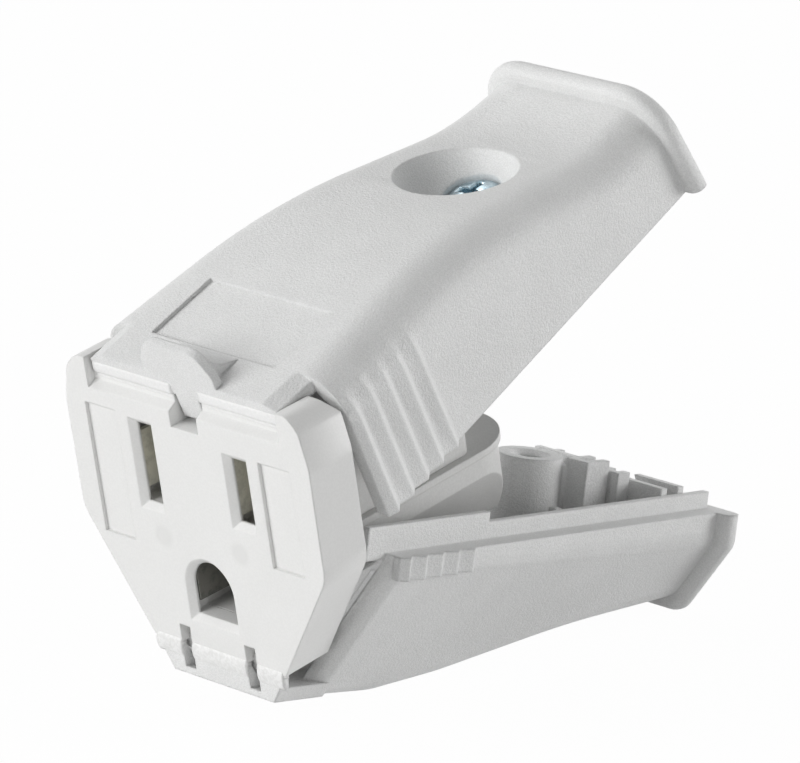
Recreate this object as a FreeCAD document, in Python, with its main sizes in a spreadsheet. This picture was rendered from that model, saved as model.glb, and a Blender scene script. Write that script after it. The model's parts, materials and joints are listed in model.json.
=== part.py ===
import FreeCAD, Part
import math
import os
import types

import Sketcher

# A straight blade cord connector with a hinged clamshell body, in millimetres.
# Every piece is drawn in one closed frame: X to the viewer's right, Y from the mating face
# into the body, Z up, origin on the face midway between the two blade slots.
# The placements then swing both shells open and stand the part on its lower shell.

drivingSizes = {
    # stance
    "rest_tilt": 12.9,
    "upper_open": 14.8,
    "lower_open": 20.1,
    "stand_shift": -30.6,
    "stand_height": 24.198,
    # mating face and rim
    "face_half_width": 16.5,
    "face_thickness": 2.4,
    "face_skin": 0.9,
    "rim_depth": 5.8,
    "rim_wall": 1.5,
    "corner_drop": 6.75,
    "bottom_drop": 18.8,
    "bottom_half_width": 9.0,
    "ear_start": 5.0,
    "ear_round": 5.0,
    "corner_round": 4.0,
    "ear_lean": 0.8,
    "ear_shoulder": 8.6,
    "ear_tip": 14.3,
    "ear_top": 10.0,
    "ear_tip_round": 1.6,
    "ear_depth": 4.4,
    "ear_foot": 8.4,
    "roof_wall": 1.1,
    # blade slots and ground hole
    "slot_pitch": 12.7,
    "slot_width": 2.0,
    "hot_slot_length": 6.7,
    "neutral_slot_length": 8.4,
    "ground_drop": 11.9,
    "ground_radius": 2.7,
    "ground_flat_drop": 3.3,
    "lead_in": 0.65,
    # bare label recesses
    "label_depth": 0.35,
    "face_label_inner": 9.6,
    "face_label_outer": 13.8,
    "left_label_top": 5.1,
    "left_label_bottom": 8.8,
    "right_label_top": 4.1,
    "right_label_bottom": 7.0,
    "top_label_half_width": 8.3,
    "top_label_start": 5.8,
    "top_label_end": 14.5,
    # upper hinge at the top of the face
    "upper_hinge_y": 1.15,
    "upper_hinge_z": 8.2,
    "hinge_gap": 0.2,
    "lip_front": 1.0,
    "lip_half_width": 12.7,
    "lip_side_gap": 0.25,
    "lip_corner_width": 1.7,
    "lip_corner_height": 0.7,
    "band_depth": 1.0,
    "band_bottom": 6.8,
    "band_bevel": 0.6,
    "notch_half_width": 1.85,
    "notch_bottom": 5.2,
    "stop_half_width": 1.55,
    "stop_bottom": 5.7,
    "stop_thickness": 0.9,
    # thumb tab
    "tab_half_width": 4.9,
    "tab_top_half_width": 3.4,
    "tab_round": 2.0,
    "tab_shoulder": 1.3,
    "tab_height": 3.8,
    "tab_thickness": 1.0,
    "tab_foot": 0.9,
    "gusset_half_width": 3.7,
    "gusset_length": 4.5,
    "gusset_waist": 0.9,
    "gusset_radius": 4.0,
    # lower hinge at the bottom of the face
    "lower_hinge_gap": 0.1,
    "strip_thickness": 0.7,
    "strip_gap": 0.15,
    "strip_height": 2.95,
    "hinge_notch_inner": 3.75,
    "hinge_notch_outer": 5.17,
    "hinge_notch_rise": 2.0,
    "hinge_notch_fall": 2.2,
    "hinge_notch_depth": 1.5,
    "front_wall": 1.7,
    # plan of both shells
    "shell_front": 6.0,
    "shell_rear": 57.9,
    "shell_step": 0.2,
    "side_taper": 0.0761,
    "parting_drop": 5.9,
    "seam_gap": 0.1,
    # upper shell
    "upper_front_top": 10.5,
    "shoulder_y": 26.7,
    "shoulder_radius": 68.0,
    "neck_y": 49.5,
    "upper_neck_top": 3.5,
    "neck_radius": 25.0,
    "upper_rear_top": 3.7,
    "lean_front": 0.3,
    "lean_rear": 3.0,
    "crown_radius": 4.8,
    "upper_wall": 1.5,
    "roof_thickness": 1.7,
    "ceiling_bevel": 2.2,
    # lower shell
    "lower_front_bottom": 22.02,
    "foot_start": 16.0,
    "foot_end": 25.0,
    "foot_bottom": 22.7,
    "foot_start_radius": 10.0,
    "foot_end_radius": 20.0,
    "waist_y": 42.0,
    "lower_waist_bottom": 17.92,
    "waist_radius": 100.0,
    "lower_rear_bottom": 16.0,
    "cheek_front": 1.1,
    "cheek_growth": 0.037,
    "cheek_slope": 0.63,
    "keel_radius": 3.5,
    "front_round": 1.4,
    "lower_wall": 2.8,
    "floor_thickness": 1.8,
    "slope_wall": 2.4,
    # tongue that closes inside the upper shell
    "tongue_gap": 0.5,
    "tongue_front": 3.2,
    "tongue_step": 21.7,
    "tongue_cover": 1.4,
    "tongue_high": 2.7,
    "tongue_low": 1.7,
    "tongue_root": 0.6,
    "skirt_inset": 0.3,
    "skirt_thickness": 0.8,
    "skirt_front": 3.2,
    "skirt_foot": 5.4,
    "skirt_notch": 5.6,
    "skirt_notch_drop": 1.4,
    "skirt_drop": 8.0,
    "skirt_lap": 0.5,
    # side ribs
    "rib_first": 7.0,
    "rib_pitch": 2.45,
    "rib_fall": 0.85,
    "rib_rise": 0.6,
    "rib_root": 0.8,
    "rib_shoulder": 5.2,
    "rib_shoulder_rise": 0.5,
    "rib_turn": 6.8,
    "rib_turn_rise": 0.42,
    "rib_fade": 8.2,
    "rib_fade_rise": 0.26,
    "rib_top": 9.3,
    "rib_top_sink": 0.06,
    "lower_rib_length": 2.3,
    # rear flange and cord opening
    "flange_sink": 0.6,
    "flange_thickness": 2.2,
    "flange_overhang": 1.55,
    "flange_lean": 2.5,
    "flange_top": 5.3,
    "flange_crown": 6.0,
    "flange_edge": 1.0,
    "flange_bottom": 17.3,
    "flange_cheek": 3.3,
    "flange_keel": 8.6,
    "flange_keel_radius": 2.4,
    "end_wall": 2.2,
    "cord_radius": 4.6,
    # assembly screw, its recess, tower and boss
    "screw_y": 41.5,
    "bowl_radius": 6.9,
    "bowl_bottom": 2.0,
    "seat_radius": 3.2,
    "seat_height": 0.7,
    "tower_foot": -1.25,
    "tower_foot_radius": 4.4,
    "tower_top_radius": 7.6,
    "tower_top": 6.2,
    "screw_clearance": 0.15,
    "screw_radius": 1.45,
    "screw_head_radius": 2.7,
    "screw_head_height": 1.9,
    "screw_dome": 0.7,
    "screw_tip": 9.5,
    "drive_width": 0.75,
    "drive_depth": 1.1,
    "cross_reach": 1.5,
    "boss_radius": 3.4,
    "boss_flare": 0.5,
    "boss_mouth": 0.5,
    "boss_gap": 0.15,
    "boss_hole_depth": 11.0,
    # cord grips
    "web_thickness": 1.0,
    "web_half_width": 2.6,
    "web_drop": 0.8,
    "web_corner": 1.0,
    "finger_x": 4.2,
    "finger_width": 0.9,
    "finger_drop": 4.6,
    "post_inner": 2.4,
    "post_width": 2.8,
    "post_length": 3.4,
    "post_wall": 0.9,
    "post_top": 1.5,
    "post_start": 44.6,
    "rear_post_shift": 1.0,
    "rear_post_start": 48.4,
    "rear_post_length": 1.8,
    "rear_post_top": 2.6,
    "wall_thickness": 0.9,
    "first_wall_back": 7.1,
    "second_wall_back": 4.3,
    "wall_rise": 2.4,
    "bridge_back": 5.7,
    "bridge_drop": 3.6,
    # contact block behind the face
    "block_split": 6.5,
    "block_top": 5.4,
    "cover_half_width": 10.0,
    "cover_end": 27.6,
    "cover_corner": 1.5,
    "base_half_width": 10.5,
    "base_end": 34.0,
    "base_corner": 6.0,
    "base_cheek": 9.4,
    "base_bottom": 16.2,
    "base_keel": 6.0,
    "bead_width": 0.35,
    "bead_height": 0.8,
    "cell_half_width": 2.5,
    "cell_half_height": 4.3,
    "cell_end": 18.0,
    "well_start": 17.4,
    "well_end": 26.8,
    "well_half_width": 3.1,
    "shank_depth": 3.0,
    # contacts
    "contact_gap": 0.15,
    "contact_pinch_y": 8.5,
    "contact_end": 15.0,
    "contact_thickness": 0.55,
    "contact_mouth": 1.25,
    "contact_pinch": 0.8,
    "contact_back": 1.5,
    "contact_half_height": 3.0,
    "ground_mouth": 2.7,
    "ground_pinch": 2.3,
    "ground_back": 2.6,
    "ground_half_height": 2.2,
    # terminals
    "terminal_x": 6.4,
    "terminal_y": 22.2,
    "plate_floor": 2.5,
    "plate_thickness": 0.8,
    "plate_half_width": 2.9,
    "plate_front": 17.9,
    "plate_back": 26.4,
    "tail_half_width": 1.6,
    "wire_gap": 1.0,
    "clamp_half_width": 2.8,
    "clamp_thickness": 0.9,
    "terminal_screw_radius": 1.4,
    "terminal_fit": 0.05,
    "terminal_head_radius": 2.5,
    "terminal_head_height": 1.6,
    "terminal_shank_end": 2.2,
    "terminal_slot_width": 0.7,
    "terminal_slot_depth": 0.7,
    "ground_plate_drop": 1.4,
}

doc = FreeCAD.newDocument("cord_connector")
sheet = doc.addObject("Spreadsheet::Sheet", "sizes")


# A number together with the sheet expression that gives it.
class Size:
    def __init__(self, value, text):
        self.value = value
        self.text = text

    def __add__(self, other):
        return Size(self.value + lift(other).value, f"({self.text} + {lift(other).text})")

    def __radd__(self, other):
        return lift(other) + self

    def __sub__(self, other):
        return Size(self.value - lift(other).value, f"({self.text} - {lift(other).text})")

    def __rsub__(self, other):
        return lift(other) - self

    def __mul__(self, other):
        return Size(self.value * lift(other).value, f"({self.text} * {lift(other).text})")

    def __rmul__(self, other):
        return lift(other) * self

    def __truediv__(self, other):
        return Size(self.value / lift(other).value, f"({self.text} / {lift(other).text})")

    def __neg__(self):
        return Size(-self.value, f"(-{self.text})")


def lift(item):
    return item if isinstance(item, Size) else Size(float(item), repr(float(item)))


def sine(angle):
    return Size(math.sin(math.radians(angle.value)), f"sin({angle.text})")


def cosine(angle):
    return Size(math.cos(math.radians(angle.value)), f"cos({angle.text})")


def root(item):
    return Size(math.sqrt(item.value), f"sqrt({item.text})")


def fill_sheet():
    named = {}
    for row, (alias, value) in enumerate(drivingSizes.items(), 1):
        sheet.set(f"A{row}", alias)
        sheet.set(f"B{row}", str(value))
        sheet.setAlias(f"B{row}", alias)
        named[alias] = Size(float(value), f"sizes.{alias}")
    doc.recompute()
    return types.SimpleNamespace(**named)


size = fill_sheet()
partingZ = -size.parting_drop
upperBase = partingZ + size.seam_gap
lowerHingeZ = -(size.bottom_drop + size.lower_hinge_gap)
stripTop = lowerHingeZ - size.strip_gap
stripBottom = stripTop - size.strip_height
faceTop = size.upper_hinge_z - size.hinge_gap / 2
lipBottom = size.upper_hinge_z + size.hinge_gap / 2
earInner = size.lip_half_width + size.lip_side_gap
slotX = size.slot_pitch / 2
groundZ = -size.ground_drop
openEnd = 1.0
near = 0.01
slack = 0.1
startPoint = 1
endPoint = 2
centrePoint = 3
ribCount = 5
shellHalf = size.face_half_width - size.shell_step
flangeStart = size.shell_rear - size.flange_sink
flangeEnd = flangeStart + size.flange_thickness
tongueRear = flangeEnd - size.tongue_cover
bridgeY = size.shell_rear - size.bridge_back


def bind(item, prop, amount):
    item.setExpression(prop, lift(amount).text)


# Half width of both shells at a distance y behind the face.
def side(y):
    return shellHalf - size.side_taper * (y - size.shell_front)


flangeHalf = side(flangeStart) + size.flange_overhang


# Draft of the upper shell's side, and its half width at a height z.
def lean(y):
    share = (y - size.shell_front) / (size.shell_rear - size.shell_front)
    return size.lean_front + (size.lean_rear - size.lean_front) * share


def drafted(y, z):
    return side(y) - lean(y) * (z - upperBase) / (size.upper_front_top + openEnd - upperBase)


# Sketches and the features that are made from them.
def new_body(name):
    return doc.addObject("PartDesign::Body", name)


def sketch_on(body, role, name, offset):
    plane = next(item for item in body.Origin.OriginFeatures if item.Role == role)
    sketch = body.newObject("Sketcher::SketchObject", name)
    sketch.AttachmentSupport = [(plane, "")]
    sketch.MapMode = "FlatFace"
    bind(sketch, "AttachmentOffset.Base.z", offset)
    return sketch


def pin(sketch, geometry, px, py):
    for kind, amount in (("DistanceX", lift(px)), ("DistanceY", lift(py))):
        rule = Sketcher.Constraint(kind, -1, startPoint, geometry, startPoint, amount.value)
        index = sketch.addConstraint(rule)
        sketch.setExpression(f"Constraints[{index}]", amount.text)


# A closed outline of straight sides. A point with a third value is a corner rounded to that radius.
def outline(sketch, points):
    corners = [FreeCAD.Vector(lift(point[0]).value, lift(point[1]).value, 0) for point in points]
    count = len(points)
    starts = list(corners)
    ends = list(corners)
    for i, point in enumerate(points):
        if len(point) == 3:
            before = (corners[i - 1] - corners[i]).normalize()
            after = (corners[(i + 1) % count] - corners[i]).normalize()
            reach = lift(point[2]).value / math.tan(before.getAngle(after) / 2)
            ends[i] = corners[i] + before * reach
            starts[i] = corners[i] + after * reach
    lines = []
    for i in range(count):
        lines.append(sketch.addGeometry(Part.LineSegment(starts[i], ends[(i + 1) % count]), False))
    for i, point in enumerate(points):
        if len(point) == 3:
            round_corner(sketch, point, lines[i - 1], lines[i], ends[i], corners[i], starts[i])
        else:
            join = Sketcher.Constraint("Coincident", lines[i - 1], endPoint, lines[i], startPoint)
            sketch.addConstraint(join)
            pin(sketch, lines[i], point[0], point[1])


def round_corner(sketch, point, line_in, line_out, entry, corner, leave):
    radius = lift(point[2])
    inward = ((entry + leave) / 2 - corner).normalize()
    half_angle = (entry - corner).getAngle(inward)
    middle = corner + inward * (radius.value / math.sin(half_angle) - radius.value)
    arc = sketch.addGeometry(Part.Arc(entry, middle, leave), False)
    turns_left = (corner - entry).cross(leave - corner).z > 0
    arc_start, arc_end = (startPoint, endPoint) if turns_left else (endPoint, startPoint)
    mark = sketch.addGeometry(Part.Point(corner), True)
    pin(sketch, mark, point[0], point[1])
    for line in (line_in, line_out):
        sketch.addConstraint(Sketcher.Constraint("PointOnObject", mark, startPoint, line))
    sketch.addConstraint(Sketcher.Constraint("Tangent", line_in, endPoint, arc, arc_start))
    sketch.addConstraint(Sketcher.Constraint("Tangent", line_out, startPoint, arc, arc_end))
    index = sketch.addConstraint(Sketcher.Constraint("Radius", arc, radius.value))
    sketch.setExpression(f"Constraints[{index}]", radius.text)


def mirrored(points):
    return [(-point[0], *point[1:]) for point in reversed(points)]


def symmetric(points):
    return points + mirrored(points)


def extrude(kind, body, sketch, name, length, flip=False, middle=False):
    feature = body.newObject(f"PartDesign::{kind}", name)
    feature.Profile = sketch
    bind(feature, "Length", length)
    feature.Reversed = flip
    feature.Midplane = middle
    return feature


# Prisms along Y from a face drawn in X and Z, along X from Y and Z, along Z from X and Y.
def prism_y(body, name, outlines, start, end):
    sketch = sketch_on(body, "XZ_Plane", name + "_sketch", -lift(start))
    for points in outlines:
        outline(sketch, points)
    return extrude("Pad", body, sketch, name, end - start, flip=True)


def prism_x(body, name, points, half):
    sketch = sketch_on(body, "YZ_Plane", name + "_sketch", 0)
    outline(sketch, points)
    return extrude("Pad", body, sketch, name, 2 * half, middle=True)


def prism_z(body, name, outlines, start, end):
    sketch = sketch_on(body, "XY_Plane", name + "_sketch", start)
    for points in outlines:
        outline(sketch, points)
    return extrude("Pad", body, sketch, name, end - start)


def pocket_y(body, name, outlines, start, end):
    sketch = sketch_on(body, "XZ_Plane", name + "_sketch", -lift(start))
    for points in outlines:
        outline(sketch, points)
    return extrude("Pocket", body, sketch, name, end - start)


def pocket_x(body, name, points, half):
    sketch = sketch_on(body, "YZ_Plane", name + "_sketch", 0)
    outline(sketch, points)
    return extrude("Pocket", body, sketch, name, 2 * half, middle=True)


def pocket_z(body, name, outlines, start, end):
    sketch = sketch_on(body, "XY_Plane", name + "_sketch", end)
    for points in outlines:
        outline(sketch, points)
    return extrude("Pocket", body, sketch, name, end - start)


def loft(body, name, sections, role="XZ_Plane"):
    sketches = []
    for index, (level, points) in enumerate(sections):
        sketch = sketch_on(body, role, f"{name}_section_{index}", -level if role == "XZ_Plane" else level)
        outline(sketch, points)
        sketches.append(sketch)
    feature = body.newObject("PartDesign::AdditiveLoft", name)
    feature.Profile = sketches[0]
    feature.Sections = sketches[1:]
    feature.Ruled = True
    return feature


# Runs a cut along Y aside and up as it goes, so that its faces stay flat.
def shear(feature, across, up):
    feature.UseCustomVector = True
    feature.Direction = FreeCAD.Vector(across.value, 1, up.value)
    feature.setExpression("Direction.x", across.text)
    feature.setExpression("Direction.z", up.text)


def dress(kind, body, feature, name, prop, amount, test):
    doc.recompute()
    edges = [f"Edge{i}" for i, edge in enumerate(feature.Shape.Edges, 1) if test(edge)]
    dressed = body.newObject(f"PartDesign::{kind}", name)
    dressed.Base = (feature, edges)
    bind(dressed, prop, amount)
    return dressed


def box(x0, x1, y0, y1):
    return [(x0, y0), (x1, y0), (x1, y1), (x0, y1)]


# Part primitives and booleans.
def cylinder(name, radius, start, end, x=0, y=0, along_y=False, z=0):
    item = doc.addObject("Part::Cylinder", name)
    bind(item, "Radius", radius)
    bind(item, "Height", end - start)
    if along_y:
        item.Placement = FreeCAD.Placement(FreeCAD.Vector(), FreeCAD.Rotation(FreeCAD.Vector(1, 0, 0), -90))
        bind(item, "Placement.Base.y", start)
        bind(item, "Placement.Base.z", z)
    else:
        bind(item, "Placement.Base.x", x)
        bind(item, "Placement.Base.y", y)
        bind(item, "Placement.Base.z", start)
    return item


def cone(name, low_radius, high_radius, start, end, y):
    item = doc.addObject("Part::Cone", name)
    bind(item, "Radius1", low_radius)
    bind(item, "Radius2", high_radius)
    bind(item, "Height", end - start)
    bind(item, "Placement.Base.y", y)
    bind(item, "Placement.Base.z", start)
    return item


def sphere(name, radius, y, z):
    item = doc.addObject("Part::Sphere", name)
    bind(item, "Radius", radius)
    bind(item, "Placement.Base.y", y)
    bind(item, "Placement.Base.z", z)
    return item


def block(name, x0, x1, y0, y1, z0, z1):
    item = doc.addObject("Part::Box", name)
    for prop, amount in (("Length", x1 - x0), ("Width", y1 - y0), ("Height", z1 - z0)):
        bind(item, prop, amount)
    for axis, amount in (("x", x0), ("y", y0), ("z", z0)):
        bind(item, f"Placement.Base.{axis}", amount)
    return item


def fuse(name, items):
    joined = doc.addObject("Part::MultiFuse", name)
    joined.Shapes = items
    return joined


def cut(name, base, tools):
    result = doc.addObject("Part::Cut", name)
    result.Base = base
    result.Tool = tools[0] if len(tools) == 1 else fuse(name + "_tools", tools)
    return result


# Turns a closed piece about its hinge line, then tilts the whole part to its stance.
def stand(item, hinge=None, opening=0):
    tilt = size.rest_tilt
    turn = tilt + opening
    y = size.stand_shift
    z = size.stand_height
    if hinge:
        y = y + hinge[0] * (cosine(tilt) - cosine(turn)) - hinge[1] * (sine(tilt) - sine(turn))
        z = z + hinge[0] * (sine(tilt) - sine(turn)) + hinge[1] * (cosine(tilt) - cosine(turn))
    spin = f"rotation(vector(1; 0; 0); {turn.text})"
    item.setExpression("Placement", f"placement(vector(0; {y.text}; {z.text}); {spin})")


upperHinge = (size.upper_hinge_y, size.upper_hinge_z)
lowerHinge = (lift(0), lowerHingeZ)


# Hollows behind the face that the contacts stand in.
def blade_cells():
    cell = box(slotX - size.cell_half_width, slotX + size.cell_half_width,
               -size.cell_half_height, size.cell_half_height)
    return [cell, mirrored(cell)]


def ground_cell():
    half = size.ground_mouth + size.contact_thickness + size.terminal_fit
    return box(-half, half, groundZ - size.ground_flat_drop, groundZ + size.ground_radius)


# Mating face: a shallow tray with the slots, the hinge notches and bare label recesses.
def make_face():
    body = new_body("face_plate")
    rim = symmetric([
        (size.bottom_half_width, -size.bottom_drop),
        (size.face_half_width, -size.corner_drop, size.corner_round),
        (size.face_half_width, size.ear_start, size.ear_round),
        (size.face_half_width - size.ear_lean, size.ear_shoulder, size.ear_round / 2),
        (size.ear_tip, size.ear_top, size.ear_tip_round),
        (earInner, size.ear_top),
        (earInner, faceTop),
    ])
    prism_y(body, "rim", [rim], 0, size.rim_depth)
    tray_half_width = size.face_half_width - size.rim_wall
    tray = symmetric([
        (size.bottom_half_width - size.rim_wall / 2, -size.bottom_drop + size.rim_wall),
        (tray_half_width, -size.corner_drop),
        (tray_half_width, size.ear_start),
        (earInner, faceTop - size.roof_wall),
    ])
    pocket_y(body, "tray", [tray], size.face_thickness, size.rim_depth)
    pocket_y(body, "cells", blade_cells() + [ground_cell()], size.face_skin, size.face_thickness)
    setback = [
        (size.rim_depth, size.ear_foot),
        (size.rim_depth + openEnd, size.ear_foot),
        (size.rim_depth + openEnd, size.ear_top + openEnd),
        (size.ear_depth, size.ear_top + openEnd),
        (size.ear_depth, size.ear_top),
    ]
    pocket_x(body, "ear_slopes", setback, size.face_half_width + openEnd)
    band = [
        (-openEnd, size.band_bottom - size.band_bevel * openEnd / size.band_depth),
        (size.band_depth, size.band_bottom + size.band_bevel),
        (size.band_depth, faceTop + openEnd),
        (-openEnd, faceTop + openEnd),
    ]
    pocket_x(body, "hinge_band", band, earInner)
    labels = [
        box(-size.face_label_outer, -size.face_label_inner, -size.left_label_bottom, size.left_label_top),
        box(size.face_label_inner, size.face_label_outer, -size.right_label_bottom, size.right_label_top),
    ]
    pocket_y(body, "labels", labels, 0, size.label_depth)
    notches = [
        box(-size.notch_half_width, size.notch_half_width, size.notch_bottom, faceTop + openEnd),
    ]
    pocket_y(body, "stop_notch", notches, 0, size.rim_depth)
    notch_top = -size.bottom_drop + size.hinge_notch_rise
    notch_foot = -size.bottom_drop - openEnd
    hinge_notch = box(size.hinge_notch_inner, size.hinge_notch_outer, notch_foot, notch_top)
    pocket_y(body, "hinge_notches", [hinge_notch, mirrored(hinge_notch)], 0, size.hinge_notch_depth)
    slot_half = size.slot_width / 2
    ground_flat = groundZ - size.ground_flat_drop
    hot_half = size.hot_slot_length / 2
    neutral_half = size.neutral_slot_length / 2
    openings = [
        box(slotX - slot_half, slotX + slot_half, -hot_half, hot_half),
        box(-slotX - slot_half, slot_half - slotX, -neutral_half, neutral_half),
        box(-size.ground_radius, size.ground_radius, ground_flat, groundZ),
    ]
    pocket_y(body, "blade_slots", openings, 0, size.face_thickness)
    ground_sketch = sketch_on(body, "XZ_Plane", "ground_sketch", 0)
    centre = FreeCAD.Vector(0, groundZ.value, 0)
    circle = Part.Circle(centre, FreeCAD.Vector(0, 0, 1), size.ground_radius.value)
    ground_sketch.addGeometry(circle, False)
    ground_sketch.addConstraint(Sketcher.Constraint("PointOnObject", 0, centrePoint, -2))
    level = Sketcher.Constraint("DistanceY", -1, startPoint, 0, centrePoint, groundZ.value)
    drop = ground_sketch.addConstraint(level)
    ground_sketch.setExpression(f"Constraints[{drop}]", groundZ.text)
    radius = ground_sketch.addConstraint(Sketcher.Constraint("Radius", 0, size.ground_radius.value))
    ground_sketch.setExpression(f"Constraints[{radius}]", size.ground_radius.text)
    round_top = extrude("Pocket", body, ground_sketch, "ground_round", size.face_thickness)

    def on_slot_mouth(edge):
        limits = edge.BoundBox
        beside = abs(limits.Center.x) < (slotX + slot_half).value + slack
        between = limits.ZMin > ground_flat.value - slack and limits.ZMax < size.notch_bottom.value - slack
        return limits.YMax < near and beside and between

    dress("Chamfer", body, round_top, "lead_ins", "Size", size.lead_in, on_slot_mouth)
    stand(body)
    return body


# Saw-tooth ribs along the right side: each ramp rises rearward to a crest and then falls.
def rib_comb(z, inset, rise):
    start = size.shell_front
    end = size.rib_first + size.rib_pitch * (ribCount - 1) + size.rib_fall
    points = [(drafted(start, z) - inset - size.rib_root, start), (drafted(start, z) - inset, start)]
    for i in range(ribCount):
        crest = size.rib_first + size.rib_pitch * i
        valley = crest + size.rib_fall
        points.append((drafted(crest, z) - inset + rise, crest))
        points.append((drafted(valley, z) - inset, valley))
    points.append((drafted(end, z) - inset - size.rib_root, end))
    return points


# How far the crown has rounded inward at a height z.
def crown_inset(z):
    height = z - (size.upper_front_top - size.crown_radius)
    return size.crown_radius - root(size.crown_radius * size.crown_radius - height * height)


# Everything above the roof line of the upper shell, or above a line that lies inside by a wall.
def above_roof(inset):
    high = size.upper_front_top + size.tab_height
    front = size.shell_front - 2 * openEnd
    rear = size.shell_rear + openEnd
    return [
        (front, size.upper_front_top - inset),
        (size.shoulder_y, size.upper_front_top - inset, size.shoulder_radius),
        (size.neck_y, size.upper_neck_top - inset, size.neck_radius),
        (rear, size.upper_rear_top - inset),
        (rear, high),
        (front, high),
    ]


def upper_section(y, foot, inset):
    half = side(y) - inset
    return (y, symmetric([(half, foot), (half - lean(y), size.upper_front_top + openEnd)]))


def on_crown(edge):
    limits = edge.BoundBox
    raised = limits.ZMin > 0
    return raised and limits.YLength > openEnd and abs(limits.Center.x) > flangeHalf.value / 2


# Outer edges of the flange's two faces, apart from its parting edges.
def on_flange_outline(edge):
    limits = edge.BoundBox
    parting = limits.ZLength < near and abs(limits.Center.z - partingZ.value) < 2 * size.seam_gap.value
    rear_face = limits.YMin > flangeEnd.value - near
    front_face = limits.YLength < near and abs(limits.YMin - flangeStart.value) < near
    outer = max(abs(limits.XMin), abs(limits.XMax)) > side(flangeStart).value + near
    proud = limits.ZMax > size.flange_top.value - near or limits.ZMin < near - size.flange_bottom.value
    return not parting and (rear_face or front_face and (outer or proud))


def make_upper_outside():
    body = new_body("upper_outside")
    loft(body, "sides", [upper_section(y, upperBase, 0) for y in (size.shell_front, size.shell_rear)])
    roof = pocket_x(body, "roof", above_roof(0), shellHalf)
    dress("Fillet", body, roof, "crown_rounds", "Radius", size.crown_radius, on_crown)
    flange_half_top = flangeHalf - size.flange_lean
    flange = symmetric([(flangeHalf, upperBase), (flange_half_top, size.flange_top)])
    rear = prism_y(body, "flange", [flange], flangeStart, flangeEnd)

    def on_flange(edge):
        limits = edge.BoundBox
        along = limits.YLength > size.flange_thickness.value - slack and limits.XLength < near
        return along and limits.ZMin > size.flange_top.value - near

    rounded = dress("Fillet", body, rear, "flange_rounds", "Radius", size.flange_crown, on_flange)
    dress("Fillet", body, rounded, "flange_edges", "Radius", size.flange_edge, on_flange_outline)
    lip = symmetric([
        (size.lip_half_width, lipBottom),
        (size.lip_half_width, size.upper_front_top - size.lip_corner_height),
        (size.lip_half_width - size.lip_corner_width, size.upper_front_top),
    ])
    prism_y(body, "lip", [lip], size.lip_front, size.shell_front + size.roof_thickness)
    tab_top = size.upper_front_top + size.tab_height
    tab = symmetric([
        (size.tab_half_width, size.upper_front_top - size.tab_foot),
        (size.tab_half_width, size.upper_front_top + size.tab_shoulder, size.tab_round),
        (size.tab_top_half_width, tab_top, size.tab_round),
    ])
    prism_y(body, "tab", [tab], size.lip_front, size.lip_front + size.tab_thickness)
    gusset_end = size.lip_front + size.gusset_length
    gusset_middle = size.lip_front + size.gusset_length / 2
    gusset = [
        (size.lip_front + size.tab_thickness / 2, size.upper_front_top - size.tab_foot),
        (gusset_end, size.upper_front_top - size.tab_foot),
        (gusset_end, size.upper_front_top),
        (gusset_middle, size.upper_front_top + size.gusset_waist, size.gusset_radius),
        (size.lip_front + size.tab_thickness, tab_top - size.tab_thickness),
        (size.lip_front + size.tab_thickness / 2, tab_top - size.tab_thickness),
    ]
    prism_x(body, "gusset", gusset, size.gusset_half_width)
    stop = box(-size.stop_half_width, size.stop_half_width, size.stop_bottom, lipBottom + size.stop_thickness)
    prism_y(body, "stop", [stop], size.lip_front, size.lip_front + size.stop_thickness)
    none = lift(0)
    levels = [
        (upperBase, none, size.rib_rise),
        (size.rib_shoulder, none, size.rib_shoulder_rise),
        (size.rib_turn, crown_inset(size.rib_turn), size.rib_turn_rise),
        (size.rib_fade, crown_inset(size.rib_fade), size.rib_fade_rise),
        (size.rib_top, crown_inset(size.rib_top), -size.rib_top_sink),
    ]
    combs = [(z, rib_comb(z, inset, rise)) for z, inset, rise in levels]
    loft(body, "right_ribs", combs, "XY_Plane")
    loft(body, "left_ribs", [(z, mirrored(points)) for z, points in combs], "XY_Plane")
    return body


def make_upper_cavity():
    body = new_body("upper_cavity")
    ends = (size.shell_front - openEnd, size.shell_rear - size.end_wall)
    loft(body, "sides", [upper_section(y, partingZ - openEnd, size.upper_wall) for y in ends])
    roof = pocket_x(body, "ceiling", above_roof(size.roof_thickness), shellHalf)
    dress("Chamfer", body, roof, "ceiling_bevels", "Size", size.ceiling_bevel, on_crown)
    return body


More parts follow.
